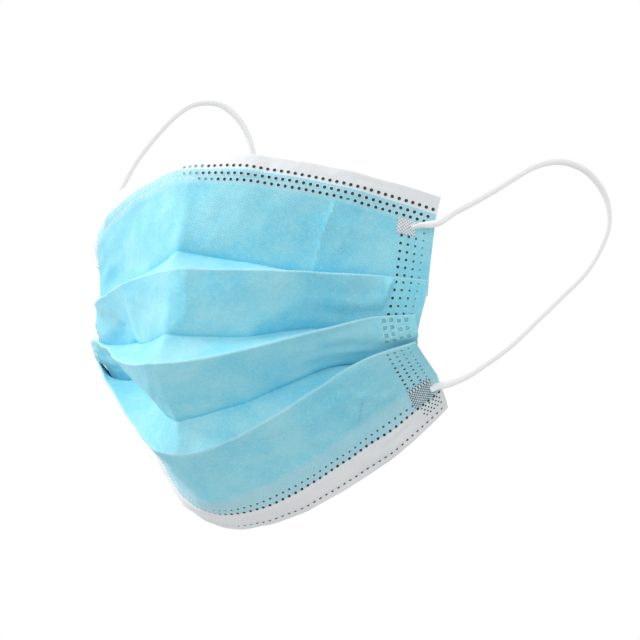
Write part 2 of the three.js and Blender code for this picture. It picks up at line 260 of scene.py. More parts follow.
def along_panel(marks, count):
    """Points at even shares along a broken line. marks holds (share, point) pairs."""
    rows = []
    for u in np.linspace(0, 1, count):
        point = marks[0][1]
        for (low, start), (high, end) in zip(marks, marks[1:]):
            share = np.clip((u - low) / (high - low), 0, 1)
            point = np.where(u >= low, mix(start, end, share), point)
        rows.append(point)
    return np.stack(rows, axis=1)


ZERO = np.zeros_like(WELD_SHARE)
ONE = np.ones_like(WELD_SHARE)


def make_rows():
    """All rows of the middle surface, from the upper edge to the lower one, stretch by stretch."""
    top, ply_top = CURVES["edgeTop"], CURVES["plyTop"]
    hem_low, low = CURVES["hemLow"], CURVES["edgeLow"]
    stretches = []
    path = 0.0

    def add(points, length, shown_from, shown_to, panel, inclusive=True):
        nonlocal path
        count = points.shape[1]
        share = np.linspace(0, 1, count) if inclusive else np.arange(1, count + 1) / (count + 1)
        stretches.append(Rows(points, path + share * length, mix(shown_from, shown_to, share),
                              np.full(count, panel)))
        path += length

    def pleat(fold, depth, shown):
        along = fold.towards(fold.turn)
        valley = shown + depth
        add(fold.bend(fold.panel_end, fold.strip_start, fold.down, along, 3), 0.0, valley, valley, -1, False)
        strip = along_panel([(ZERO, fold.strip_start), (ONE, fold.strip_end)], 8)
        add(strip, depth, valley, shown, -1)
        add(fold.bend(fold.strip_end, fold.ridge, along, fold.down, 3), 0.0, shown, shown, -1, False)

    add(along_panel([(ZERO, top), (ONE, ply_top)], 9)[:, :-1], UPPER_HEM, 0, UPPER_HEM, 0)
    length = UPPER_PANEL + PLEAT_A - UPPER_HEM
    marks = [(ZERO, ply_top), behind(ply_top, FOLD_A, 0.65, 0.75), (ONE, FOLD_A.panel_end)]
    add(along_panel(marks, 22), length, UPPER_HEM, RIDGE_A + PLEAT_A, 0)
    pleat(FOLD_A, PLEAT_A, RIDGE_A)
    marks = [(ZERO, FOLD_A.ridge), in_front(FOLD_A, FOLD_B.panel_end, 0.3, 0.36),
             behind(FOLD_A.ridge, FOLD_B, 0.5, 0.65), (ONE, FOLD_B.panel_end)]
    add(along_panel(marks, 18), SECOND_PANEL + PLEAT_B, RIDGE_A, RIDGE_B + PLEAT_B, 1)
    pleat(FOLD_B, PLEAT_B, RIDGE_B)
    marks = [(ZERO, FOLD_B.ridge), in_front(FOLD_B, FOLD_C.panel_end, 0.3, 0.55),
             behind(FOLD_B.ridge, FOLD_C, 0.65, 0.85), (ONE, FOLD_C.panel_end)]
    add(along_panel(marks, 18), THIRD_PANEL + PLEAT_C, RIDGE_B, RIDGE_C + PLEAT_C, 2)
    pleat(FOLD_C, PLEAT_C, RIDGE_C)
    marks = [(ZERO, FOLD_C.ridge), in_front(FOLD_C, hem_low, 0.35, 0.5), (ONE, hem_low)]
    add(along_panel(marks, 20)[:, :-1], LOWER_PANEL - LOWER_FOLD, RIDGE_C, HEIGHT - LOWER_FOLD, 3)
    add(along_panel([(ZERO, hem_low), (ONE, low)], 23), LOWER_FOLD, HEIGHT - LOWER_FOLD, HEIGHT, 3)
    return [np.concatenate([getattr(s, name) for s in stretches], axis=1 if name == "points" else 0)
            for name in Rows._fields]


MIDDLE, PATH, SHOWN, PANEL = make_rows()


def smoothed(points, rounds_down, rounds_across):
    """Evens out the clamped corners; the bends of the pleats keep their place."""
    points = points.copy()
    free = np.ones(len(PATH))
    step = np.abs(np.diff(PATH))
    tight = np.concatenate([[False], step < SHORT_STEP]) | np.concatenate([step < SHORT_STEP, [False]])
    near = tight.copy()
    near[1:] |= tight[:-1]
    near[:-1] |= tight[1:]
    free[near] = 0
    free[[0, -1]] = 0
    weight = free[None, :, None] * (1 - WELD_CALM * WELD_SHARE[:, :, None])
    for _ in range(rounds_down):
        around = (points[:, 2:] + points[:, :-2]) / 2
        points[:, 1:-1] += weight[:, 1:-1] * 0.5 * (around - points[:, 1:-1])
    for _ in range(rounds_across):
        around = (points[2:] + points[:-2]) / 2
        points[1:-1] += 0.5 * (around - points[1:-1])
    return points


def front_normals(points):
    down = np.gradient(points, axis=1)
    across = np.gradient(points, axis=0)
    return unit(np.cross(down, across))


def noise_field(x, y, seed, detail=2):
    """Seeded smooth noise, from about -1 to 1, at arrays of places."""
    flat = [noise.fractal(Vector((a, b, seed)), 1.0, 2.0, detail) for a, b in zip(x.ravel(), y.ravel())]
    return np.array(flat).reshape(x.shape)


S_GRID, P_GRID = np.meshgrid(STATIONS, PATH, indexing="ij")
T_GRID = np.broadcast_to(SHOWN, S_GRID.shape)


# Fold lines on the laid-out cloth, as distances from the upper edge: valley and ridge of each pleat
FOLD_PATHS = []
for depth, panel in ((PLEAT_A, UPPER_PANEL), (PLEAT_B, SECOND_PANEL), (PLEAT_C, THIRD_PANEL)):
    before = FOLD_PATHS[-1][1] if FOLD_PATHS else 0.0
    valley = before + panel + depth
    FOLD_PATHS.append((valley, valley + depth))

# Relief of the pressed fold lines: how far a strip swings out, how far from it that fades, its height,
# and the distances from the middle over which it fades
FOLD_SWING = 1.4
FOLD_FADE = 4.2
FOLD_HEIGHT = 1.5
FOLD_STRETCH = (8, 34)

# Cloth that stands up beside the right weld: height, how far it runs in and how far it drops
STANDING_HEIGHT = 2.3
STANDING_RUN = 8.5
STANDING_DROP = 1.2

# Creases on the laid-out cloth: points (from the middle, from the upper edge), height and width
Crease = namedtuple("Crease", "points height width")
CREASES = [Crease(*row) for row in (
    ([(-6, 10), (-3, 27), (0, 39)], 1.2, 7),
    ([(6, 46), (8, 60), (0, 69)], 1.3, 6),
    ([(8, 82), (8, 97)], 1.1, 7),
    ([(8, 110), (5, 124), (-3, 136)], 1.1, 7),
    ([(-3, 78), (-13, 93), (-11, 108), (-14, 124)], 0.8, 5),
    ([(53, 13), (50, 26), (49, 37)], 1.7, 1.3),
    ([(58, 12), (60, 18), (57, 27), (54, 30)], 1.2, 1.1),
    ([(64, 14), (62, 24)], 0.7, 1.5),
    ([(46, 14), (44, 30)], -0.5, 1.8),
    ([(62, 124), (57, 132)], 1.9, 1.5),
    ([(62, 124), (68, 131)], 1.3, 1.5),
    ([(22, 69.5), (33, 67.8), (48, 73)], 1.3, 1.6),
    ([(20, 108), (29, 100.5), (38, 103)], 1.6, 1.8),
    ([(60, 49), (61, 58)], 1.5, 2.4),
    ([(67, 54), (66, 59)], -0.5, 1.6),
    ([(70, 80), (69, 88)], 0.8, 1.6),
    ([(62, 82), (64, 95)], 0.8, 3.0),
    ([(30, 113), (44, 122), (40, 130)], 0.8, 3.0),
    ([(20, 116), (30, 126), (24, 134)], 0.6, 3.0),
    ([(-30, 50), (-34, 62)], 0.7, 4.0),
    ([(-40, 20), (-36, 40)], 0.6, 7.0),
    ([(24, 50), (20, 60), (28, 66)], 0.7, 2.4),
    ([(38, 48), (42, 58), (36, 66)], 0.7, 2.2),
)]


def line_distance(points):
    """Distance of every place of the laid-out cloth from a broken line."""
    nearest = np.full(S_GRID.shape, 1e9)
    for (s0, p0), (s1, p1) in zip(points, points[1:]):
        way_s, way_p = s1 - s0, p1 - p0
        share = ((S_GRID - s0) * way_s + (P_GRID - p0) * way_p) / (way_s ** 2 + way_p ** 2)
        share = np.clip(share, 0, 1)
        gap = np.hypot(S_GRID - s0 - share * way_s, P_GRID - p0 - share * way_p)
        nearest = np.minimum(nearest, gap)
    return nearest


def pressed_folds():
    """Pressed fold lines: each strip leans out from its valley to its ridge."""
    height = np.zeros_like(S_GRID)
    for valley, ridge in FOLD_PATHS:
        share = np.clip((P_GRID - valley) / (ridge - valley), 0, 1)
        beyond = np.maximum(valley - P_GRID, 0) + np.maximum(P_GRID - ridge, 0)
        height += (FOLD_SWING * share - 1) * np.exp(-beyond / FOLD_FADE)
    return height


def standing_fold():
    """The second panel's cloth stands up where it meets the side weld, and drops steeply to it."""
    crest = OPEN_WIDTH - 0.6 - 2.4 * (P_GRID - 45) / 12.5
    rise = np.clip((S_GRID - crest + STANDING_RUN) / STANDING_RUN, 0, 1) ** 1.6
    fall = 1 - smoothstep(S_GRID, crest, crest + STANDING_DROP)
    along = smoothstep(P_GRID, 44.6, 47.5) * (1 - smoothstep(P_GRID, 53.5, 57.5))
    return STANDING_HEIGHT * rise * fall * along


def surface():
    """The cloth's middle surface with its fold lines, creases, soft waves and wrinkles."""
    points = smoothed(MIDDLE, 6, 3)
    distance = np.abs(S_GRID)
    near_weld = smoothstep(distance, 36, 60) * (1 - smoothstep(distance, 68, 77))
    radiating = noise_field(S_GRID / 24, T_GRID / 4.6, 3.1) * near_weld
    waves = noise_field(S_GRID / 21, P_GRID / 17, 7.7)
    dents = noise_field(S_GRID / 7.5, P_GRID / 6.5, 11.3, 3) * 0.34
    soft = (waves + dents) * (1 - WELD_SHARE) * open_share()
    folds = pressed_folds() * (1 - smoothstep(distance, *FOLD_STRETCH)) * FOLD_HEIGHT
    creases = np.zeros_like(S_GRID)
    for crease in CREASES:
        creases += crease.height * np.exp(-line_distance(crease.points) / crease.width)
    moved = radiating + soft + folds + creases + standing_fold()
    return points + common_outward() * moved[:, :, None]


def open_share():
    """1 where no layer lies on another, 0 where the pleats are folded up."""
    folded = np.zeros_like(S_GRID)
    ridges = (RIDGE_A, RIDGE_B, RIDGE_C)
    for fold, ridge, pleat in zip((FOLD_A, FOLD_B, FOLD_C), ridges, PLEATS):
        depth = pleat.depth
        near = 1 - smoothstep(np.abs(T_GRID - ridge - depth / 2), depth * 0.8, depth * 1.5)
        folded = np.maximum(folded, near * fold.folded)
    return 1 - folded


def common_outward():
    """A direction out of the mask that neighbouring layers share."""
    stations = [0, RIDGE_A, RIDGE_B, RIDGE_C, HEIGHT]
    normals = front_normals(MIDDLE)
    rows = [normals[:, 0], FOLD_A.outward, FOLD_B.outward, FOLD_C.outward, normals[:, -1]]
    result = np.zeros_like(MIDDLE)
    for axis in range(3):
        values = np.stack([row[:, axis] for row in rows], axis=1)
        for k in range(len(STATIONS)):
            result[k, :, axis] = np.interp(SHOWN, stations, values[k])
    return unit(result)


SURFACE = surface()
NORMALS = front_normals(SURFACE)

# Rows on the pressed lines: the last row of each panel, and both ends of each strip
FOLD_ROWS = []
for valley, ridge in FOLD_PATHS:
    at_valley = np.flatnonzero(np.abs(PATH - valley) < ON_LINE)
    at_ridge = np.flatnonzero(np.abs(PATH - ridge) < ON_LINE)
    FOLD_ROWS += [at_valley[0], at_valley[-1], at_ridge[0], at_ridge[-1]]

# Distances for the cloth's UV: like PATH, but with the length of the round bends added
BEND_ROWS = np.diff(PATH, prepend=-1.0) < ON_LINE
LAID = PATH + np.cumsum(BEND_ROWS) * BEND_LENGTH


def raised(height):
    """The surface's points, moved out of it by a height for each row or each point."""
    height = np.broadcast_to(height, S_GRID.shape)
    return SURFACE + NORMALS * height[:, :, None]


def wire_rise():
    from_edge = CLOTH_LENGTH - PATH
    inside = smoothstep(from_edge, WIRE_NEAR - 0.3, WIRE_NEAR + 1.0)
    return WIRE_RISE * inside * (1 - smoothstep(from_edge, WIRE_FAR - 1.0, WIRE_FAR + 0.3))


def over_leg():
    """1 where the outer ply lies on a folded leg of the inner ply."""
    upper = 1 - smoothstep(PATH, UPPER_FOLD - 0.4, UPPER_FOLD + 0.4)
    lower = smoothstep(PATH, CLOTH_LENGTH - LOWER_FOLD - 0.4, CLOTH_LENGTH - LOWER_FOLD + 0.4)
    return np.maximum(upper, lower)


def weld_press():
    """How much of a layer's thickness is left: the weld presses it."""
    return mix(1.0, 0.75, WELD_SHARE)


def front_height():
    """Height of the visible front face above the middle surface, at each row and column."""
    blue = (PATH >= UPPER_HEM) & (PATH <= CLOTH_LENGTH - LOWER_HEM)
    height = np.where(blue, OUTER_FRONT + OVER_LEG * over_leg(), LEG_FRONT + wire_rise())
    return height[None, :] * weld_press()


def new_piece(name, points, faces, uv, material, replaces=(), smooth_angle=55, folded=None):
    """One piece of the mask from points in millimetres. folded numbers the points on pressed lines."""
    mesh = bpy.data.meshes.new(name)
    mesh.from_pydata((np.asarray(points) * MM).tolist(), [], faces)
    if uv is not None:
        layer = mesh.uv_layers.new(name="cloth")
        corners = np.empty(len(mesh.loops), dtype=np.int32)
        mesh.loops.foreach_get("vertex_index", corners)
        layer.data.foreach_set("uv", np.asarray(uv)[corners].astype(np.float32).ravel())
    mesh.polygons.foreach_set("use_smooth", [True] * len(mesh.polygons))
    mesh.set_sharp_from_angle(angle=math.radians(smooth_angle))
    if folded is not None:
        ends = np.empty(2 * len(mesh.edges), dtype=np.int32)
        mesh.edges.foreach_get("vertices", ends)
        sharp = np.empty(len(mesh.edges), dtype=bool)
        mesh.edges.foreach_get("use_edge_sharp", sharp)
        line = np.asarray(folded)[ends.reshape(-1, 2)]
        sharp |= (line[:, 0] >= 0) & (line[:, 0] == line[:, 1])
        mesh.edges.foreach_set("use_edge_sharp", sharp)
    mesh.validate()
    obj = bpy.data.objects.new(name, mesh)
    bpy.context.scene.collection.objects.link(obj)
    for one in material if isinstance(material, list) else [material]:
        mesh.materials.append(one)
    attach(obj, "root")
    if replaces:
        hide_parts(*replaces)
    return obj


def wall(front, back):
    """Points and quads of a closed wall between two grids of the same size."""
    columns, rows = front.shape[:2]
    points = np.concatenate([front.reshape(-1, 3), back.reshape(-1, 3)])
    index = np.arange(2 * columns * rows).reshape(2, columns, rows)

    def quads(a, b, c, d):
        return np.stack([a.ravel(), b.ravel(), c.ravel(), d.ravel()], axis=1)

    f, b = index
    faces = np.concatenate([
        quads(f[:-1, :-1], f[:-1, 1:], f[1:, 1:], f[1:, :-1]),
        quads(b[:-1, :-1], b[1:, :-1], b[1:, 1:], b[:-1, 1:]),
        quads(f[:-1, 0], f[1:, 0], b[1:, 0], b[:-1, 0]),
        quads(f[:-1, -1], b[:-1, -1], b[1:, -1], f[1:, -1]),
        quads(f[0, :-1], b[0, :-1], b[0, 1:], f[0, 1:]),
        quads(f[-1, :-1], f[-1, 1:], b[-1, 1:], b[-1, :-1]),
    ])
    return points, faces.tolist()


UV_SCALE = 0.01
PAD_UV_SCALE = 0.1


def uv_of(s, path):
    """UV of cloth places, one unit for 100 mm."""
    return np.stack([s.ravel() * UV_SCALE, path.ravel() * UV_SCALE], axis=1)


def outer_ply(material):
    from_hem = PATH >= UPPER_HEM - ON_LINE
    rows = np.flatnonzero(from_hem & (PATH <= CLOTH_LENGTH - LOWER_HEM + ON_LINE))
    press = weld_press()
    lift = OVER_LEG * over_leg()
    front = raised((OUTER_FRONT + lift)[None, :] * press)[:, rows]
    back = raised((OUTER_BACK + lift)[None, :] * press)[:, rows]
    points, faces = wall(front, back)
    uv = uv_of(S_GRID[:, rows], np.broadcast_to(LAID[rows], (len(STATIONS), len(rows))))
    lines = np.where(np.isin(rows, FOLD_ROWS), rows, -1)
    lines = np.tile(lines, 2 * len(STATIONS))
    return new_piece("outer_cloth", points, faces, np.concatenate([uv, uv]), material,
                     ["outer_ply"], folded=lines)


def inner_ply(material):
    """The white ply: its back, both wrapped edges and both folded legs, as one wall."""
    press = weld_press()
    upper = np.flatnonzero(PATH <= UPPER_FOLD)[::-1]
    lower = np.flatnonzero(PATH >= CLOTH_LENGTH - LOWER_FOLD)[::-1]
    leg_in = raised(LEG_BACK * press)
    leg_out = raised((LEG_FRONT + wire_rise())[None, :] * press)
    main_in = raised(INNER_FRONT * press)
    main_out = raised((INNER_BACK - 0.35 * wire_rise())[None, :] * press)

    def around(edge, neighbour):
        """Two points of the wrap round an edge, on its inside and its outside."""
        beyond = unit(SURFACE[:, edge] - SURFACE[:, neighbour])
        middle = mix(leg_in[:, edge], main_in[:, edge], 0.5)
        reach = (LEG_FRONT - INNER_BACK) / 2 * press
        turned = []
        for share in (0.25, 0.5, 0.75):
            angle = math.pi * share
            outward = NORMALS[:, edge] * reach * math.cos(angle)
            turned.append(middle + beyond * reach * math.sin(angle) + outward)
        inside = np.stack([middle] * 3, axis=1)
        inside += beyond[:, None] * 0.02
        return inside, np.stack(turned, axis=1)

    in_top, out_top = around(0, 1)
    in_low, out_low = around(-1, -2)
    out_low = out_low[:, ::-1]
    face_in = np.concatenate([leg_in[:, upper], in_top, main_in, in_low, leg_in[:, lower]], axis=1)
    face_out = np.concatenate([leg_out[:, upper], out_top, main_out, out_low, leg_out[:, lower]], axis=1)
    edge_paths = [LAID[upper], np.full(3, LAID[0]), LAID, np.full(3, LAID[-1]), LAID[lower]]
    path = np.concatenate(edge_paths)
    s, p = np.meshgrid(STATIONS, path, indexing="ij")
    points, faces = wall(face_in, face_out)
    uv = uv_of(s, p)
    return new_piece("inner_cloth", points, faces, np.concatenate([uv, uv]), material,
                     ["inner_ply"])


FRONT = raised(front_height())


def face_point(s, t, height=0.0, panel=None):
    """A point on the visible front face, and the way out of the cloth there."""
    if panel is None:
        panel = int(np.searchsorted([RIDGE_A, RIDGE_B, RIDGE_C], t, side="right"))
    rows = np.flatnonzero(PANEL == panel)
    at = float(np.interp(t, SHOWN[rows], rows))
    column = float(np.interp(s, STATIONS, np.arange(len(STATIONS))))
    k, j = min(int(column), len(STATIONS) - 2), min(int(at), len(PATH) - 2)
    u, v = column - k, at - j

    def blend(grid):
        return (grid[k, j] * (1 - u) * (1 - v) + grid[k + 1, j] * u * (1 - v)
                + grid[k, j + 1] * (1 - u) * v + grid[k + 1, j + 1] * u * v)

    normal = unit(blend(NORMALS))
    return blend(FRONT) + normal * height, normal


# Ear loops: free routes in millimetres, from the upper corner round to the lower one
ROUTES = {
    "right": [
        (79, -2, 106), (81.5, 7, 112), (84.5, 17, 119), (87.5, 27, 126.5), (90, 36.5, 133),
        (93, 47, 138), (96, 57.5, 140), (99, 68, 138.5), (101, 77, 132.5), (100.5, 81.5, 123.5),
        (97.5, 81, 114), (93.5, 77, 104), (88, 69, 93.5), (82.5, 59, 82), (77.5, 48, 70.5),
        (73, 38, 62), (70, 29.5, 56),
    ],
    "left": [
        (-72.5, 1, 121), (-69.5, 2, 131.5), (-65, 5, 144.5), (-59.5, 9, 155.5),
        (-54.5, 12.5, 163.5), (-49.5, 16, 169), (-45, 19.5, 171), (-40.5, 23.5, 171), (-36, 28, 167.5),
        (-32.5, 32, 161), (-31, 35.5, 152), (-32.5, 38, 139.5), (-35.5, 38.5, 125.5), (-41, 37.5, 111.5),
        (-47.5, 36, 97.5), (-54.5, 34, 84.5), (-61.5, 31, 72.5), (-66.5, 27, 63.5),
    ],
}
LOOP_DIAMETER = 2.5
LOOP_SIDES = 20
LOOP_STEP = 0.34
KNIT_RIBS = 8
KNIT_PITCH = 1.1

# Welded ends of the elastic: distances from the middle and from the upper edge
End = namedtuple("End", "name inner outer top bottom slip")
ENDS = [
    End("loop_end_upper", OPEN_WIDTH - 1.5, OPEN_WIDTH + 5, UPPER_HEM + 4, UPPER_HEM + 9.5, -4.2),
    End("loop_end_lower", OPEN_WIDTH - 0.5, OPEN_WIDTH + 8.5, HEIGHT - LOWER_FOLD - 0.5,
        HEIGHT - LOWER_HEM - 0.8, 1.0),
]


def catmull_rom(points, per_span):
    """A centripetal Catmull-Rom curve through the points."""
    points = [np.array(p, dtype=float) for p in points]
    ends = [2 * points[0] - points[1]] + points + [2 * points[-1] - points[-2]]
    curve = []
    for p0, p1, p2, p3 in zip(ends, ends[1:], ends[2:], ends[3:]):
        t1 = np.linalg.norm(p1 - p0) ** 0.5
        t2 = t1 + np.linalg.norm(p2 - p1) ** 0.5
        t3 = t2 + np.linalg.norm(p3 - p2) ** 0.5
        for share in np.arange(per_span) / per_span:
            t = t1 + (t2 - t1) * share
            a1 = p0 + (p1 - p0) * t / t1
            a2 = p1 + (p2 - p1) * (t - t1) / (t2 - t1)
            a3 = p2 + (p3 - p2) * (t - t2) / (t3 - t2)
            b1 = a1 + (a2 - a1) * t / t2
            b2 = a2 + (a3 - a2) * (t - t1) / (t3 - t1)
            curve.append(b1 + (b2 - b1) * (t - t1) / (t2 - t1))
    curve.append(points[-1])
    return np.array(curve)


def even(points, step):
    """The same curve with points a step apart."""
    lengths = np.concatenate([[0], np.cumsum(np.linalg.norm(np.diff(points, axis=0), axis=1))])
    count = max(2, int(round(lengths[-1] / step)) + 1)
    at = np.linspace(0, lengths[-1], count)
    return np.stack([np.interp(at, lengths, points[:, axis]) for axis in range(3)], axis=1), lengths[-1]


def side_name(side):
    return "right" if side > 0 else "left"


def cord_end(end, side):
    t = (end.top + end.bottom) / 2
    height = LOOP_DIAMETER / 2
    if side < 0 and end.name == "loop_end_upper":
        # The left loop leaves its pad upwards, over the hem
        return [
            face_point(side * (end.outer - 2.0), t, 0.55)[0],
            face_point(side * (end.outer - 1.5), end.top - 1.0, 0.9 * height)[0],
            face_point(side * (end.outer - 1.5), 1.5, height + 0.5)[0],
        ]
    return [
        face_point(side * (end.outer - 1.5), t, 0.55)[0],
        face_point(side * (end.outer + 1.0), t + 0.4 * end.slip, 0.75 * height)[0],
        face_point(side * HALF_WIDTH, t + end.slip, height + 0.6)[0],
    ]


def knit_relief(along, around):
    """Height of the knitted ribs on the cord, for a place along it and round it."""
    slant = np.sin(KNIT_RIBS * around) * 1.6
    stitches = 0.035 * np.sin(2 * math.pi * along / KNIT_PITCH + slant)
    return stitches + 0.02 * np.cos(KNIT_RIBS * around)


def tube(points, radius_of):
    """A knitted cord along points a step apart."""
    tangent = unit(np.gradient(points, axis=0))
    side = unit(np.cross(tangent[0], [0.3, 0.2, 1.0]))
    rings = []
    uv = []
    length = np.concatenate([[0], np.cumsum(np.linalg.norm(np.diff(points, axis=0), axis=1))])
    angles = np.arange(LOOP_SIDES) / LOOP_SIDES * 2 * math.pi
    for k, point in enumerate(points):
        side = unit(side - tangent[k] * np.dot(side, tangent[k]))
        up = np.cross(tangent[k], side)
        wide, flat = radius_of(length[k], length[-1])
        relief = knit_relief(length[k], angles)
        across = np.outer(np.cos(angles) * (wide + relief), side)
        rings.append(point + across + np.outer(np.sin(angles) * (flat + relief), up))
        uv.append(np.stack([angles / (2 * math.pi), np.full(LOOP_SIDES, length[k] * 0.1)], axis=1))
    count = len(rings)
    points_out = np.concatenate(rings + [points[:1], points[-1:]])
    faces = []
    for k in range(count - 1):
        here, ahead = k * LOOP_SIDES, (k + 1) * LOOP_SIDES
        for m in range(LOOP_SIDES):
            n = (m + 1) % LOOP_SIDES
            faces.append((here + m, here + n, ahead + n, ahead + m))
    first, last = count * LOOP_SIDES, count * LOOP_SIDES + 1
    for m in range(LOOP_SIDES):
        n = (m + 1) % LOOP_SIDES
        faces.append((first, n, m))
        faces.append((last, (count - 1) * LOOP_SIDES + m, (count - 1) * LOOP_SIDES + n))
    uv = np.concatenate(uv + [np.array([[0.5, 0.0], [0.5, length[-1] * 0.1]])])
    return points_out, faces, uv


def ear_loop(side, material):
    name = side_name(side)
    upper, lower = ENDS
    route = cord_end(upper, side) + list(ROUTES[name]) + cord_end(lower, side)[::-1]
    points, length = even(catmull_rom(route, 24), LOOP_STEP)
    print("cord", name, "length mm", round(float(length), 1))

    def radius_of(at, total):
        """The elastic is pressed flat towards its welded ends."""
        near = min(at, total - at)
        press = float(smoothstep(np.array(near), 1.0, 7.0))
        return LOOP_DIAMETER / 2 * mix(1.25, 1.0, press), LOOP_DIAMETER / 2 * mix(0.55, 1.0, press)

    points_out, faces, uv = tube(points, radius_of)
    obj = new_piece(f"elastic_loop_{name}", points_out, faces, uv, material,
                    [f"ear_loop_{name}"], 70)
    path = (points[::6] * MM).tolist() + [(points[-1] * MM).tolist()]
    return obj


# Welded ends: spacing of the crossed pattern, heights of the rim, the body and the pattern, and mesh
PAD_PITCH = 1.15
PAD_RIM = 0.12
PAD_BODY = 0.42
PAD_PATTERN = 0.2
PAD_GRID = (44, 38)


def loop_end(end, side, material):
    """A flattened end of the elastic, pressed onto the cloth with a crossed pattern."""
    columns, rows = PAD_GRID
    front = np.zeros((columns, rows, 3))
    back = np.zeros((columns, rows, 3))
    for i, a in enumerate(np.linspace(0, 1, columns)):
        for j, b in enumerate(np.linspace(0, 1, rows)):
            s = side * mix(end.inner, end.outer, a)
            t = mix(end.top, end.bottom, b)
            rim = min(1.0, 6 * min(a, 1 - a), 6 * min(b, 1 - b)) ** 0.5
            across = (end.outer - end.inner) * a
            down = (end.bottom - end.top) * b
            first = math.sin(math.pi * (across + down) / PAD_PITCH)
            second = math.sin(math.pi * (across - down) / PAD_PITCH)
            height = PAD_RIM + PAD_BODY * rim + PAD_PATTERN * rim * abs(first * second)
            front[i, j] = face_point(s, t, height)[0]
            back[i, j] = face_point(s, t, 0.03)[0]
    if side < 0:
        front, back = front[::-1], back[::-1]
    points, faces = wall(front, back)
    shares = np.meshgrid(np.linspace(0, 1, columns), np.linspace(0, 1, rows), indexing="ij")
    grid = np.stack(shares, axis=-1)
    size = [end.outer - end.inner, end.bottom - end.top]
    uv = grid.reshape(-1, 2) * size * PAD_UV_SCALE
    name = side_name(side)
    return new_piece(f"{end.name}_pad_{name}", points, faces, np.concatenate([uv, uv]), material,
                     [f"{end.name}_{name}"])


# Weld dots: rows along the hems and columns in the side welds
Dot = namedtuple("Dot", "s t radius tone panel")
DOT_PITCH = 2.42
WELD_DOT_PITCH = 2.57
WELD_COLUMNS = [OPEN_WIDTH + 0.3 + 2.6 * k for k in range(4)]
DARK, MID, DULL, PALE, CELL = 0, 1, 2, 3, 4
RIM = 5
# The pale tone, and the dull one on the hem rows, are painted light: the dark cups as they look where the
# left side is lit.
WELD_TONES = (
    ("dark", (0.006, 0.035, 0.055)), ("mid", (0.02, 0.15, 0.21)), ("dull", (0.09, 0.36, 0.46)),
    ("pale", (0.62, 0.82, 0.88)), ("cell", (0.15, 0.56, 0.72)),
)
# Rings of a pressed cup, as shares of its radius, and their heights
CUP_FLOOR = 0.03
CUP_RINGS = ((1.0, 0.05), (1.2, 0.09), (1.42, -0.06))
# Hem rows: distance from the upper edge, radius, tone, and from where on to the right they are dark; to the
# left of that the cups are painted paler, as painted light on the lit left side
HEM_ROWS = [
    (5.4, 0.62, DARK, 4), (7.75, 0.62, DARK, 4), (9.95, 0.60, DARK, 10),
    (HEIGHT - WIRE_NEAR, 0.50, DARK, 6), (HEIGHT - WIRE_FAR - 0.3, 0.56, DARK, -4),
    (HEIGHT - WIRE_FAR - 2.6, 0.46, MID, 2),
]


def hem_dots():
    dots = []
    for row, (t, radius, tone, dark_from) in enumerate(HEM_ROWS):
        s = -HALF_WIDTH + 1.6 + DOT_PITCH / 2 * (row % 2)
        while s < HALF_WIDTH - 1:
            # Painted light: towards the lit left side the same cups are drawn dull and then pale.
            if s < dark_from - 8:
                shown = PALE
            elif s < dark_from:
                shown = DULL
            else:
                shown = tone
            dots.append(Dot(s, t, radius * (0.7 if shown == PALE else 1), shown, None))
            s += DOT_PITCH
    # The lower corners are welded once more, with short dark marks below the elastic
    for side in (1, -1):
        for row in range(4):
            for k in range(5):
                s = side * (OPEN_WIDTH + 1.6 + 1.7 * k + 0.85 * (row % 2))
                tone = DARK if (row + k) % 3 else MID
                dots.append(Dot(s, HEIGHT - LOWER_HEM + 0.6 + 1.15 * row, 0.36, tone, None))
    return dots


def weld_column(s):
    """Places down one weld column, evenly spaced on each visible stretch: (panel, t, share down)."""
    starts = [UPPER_FOLD + 0.9, RIDGE_A, RIDGE_B, RIDGE_C]
    ends = [RIDGE_A, RIDGE_B, RIDGE_C, HEIGHT - LOWER_FOLD + 1]
    places = []
    for panel, (start, end) in enumerate(zip(starts, ends)):
        over = 5.0 if panel < 3 else 0.0
        ts = np.arange(start, end + over, 0.15)
        way = np.array([face_point(s, t, 0.0, panel)[0] for t in ts])
        travelled = np.concatenate([[0], np.cumsum(np.linalg.norm(np.diff(way, axis=0), axis=1))])
        total = travelled[-1]
        if panel < 3:
            ridge = face_point(s, end, 0.0, panel + 1)[0]
            total = travelled[np.argmin(np.linalg.norm(way - ridge, axis=1))]
        count = max(1, int(round(total / WELD_DOT_PITCH)))
        for k in range(count):
            at = (k + 0.5) * total / count
            places.append((panel, float(np.interp(at, travelled, ts)), (k + 0.5) / count))
    return places


def weld_dots():
    dots = []
    for side in (1, -1):
        for column, s in enumerate(WELD_COLUMNS):
            for panel, t, share in weld_column(side * s):
                if any(e.inner - 0.6 < s < e.outer + 0.6 and e.top - 0.6 < t < e.bottom + 0.4 for e in ENDS):
                    continue
                if panel == 0:
                    tone = (DARK, DARK, MID, DULL)[column]
                elif panel == 1:
                    tone = (DARK, MID, MID, DULL)[column]
                elif panel == 2:
                    tone = CELL
                else:
                    tone = DULL if share < 0.3 else (MID if share < 0.45 or column > 2 else DARK)
                radius = 1.02 if tone == CELL else (0.54, 0.50, 0.45, 0.38)[column]
                dots.append(Dot(side * s, t, radius, tone, panel))
    return dots


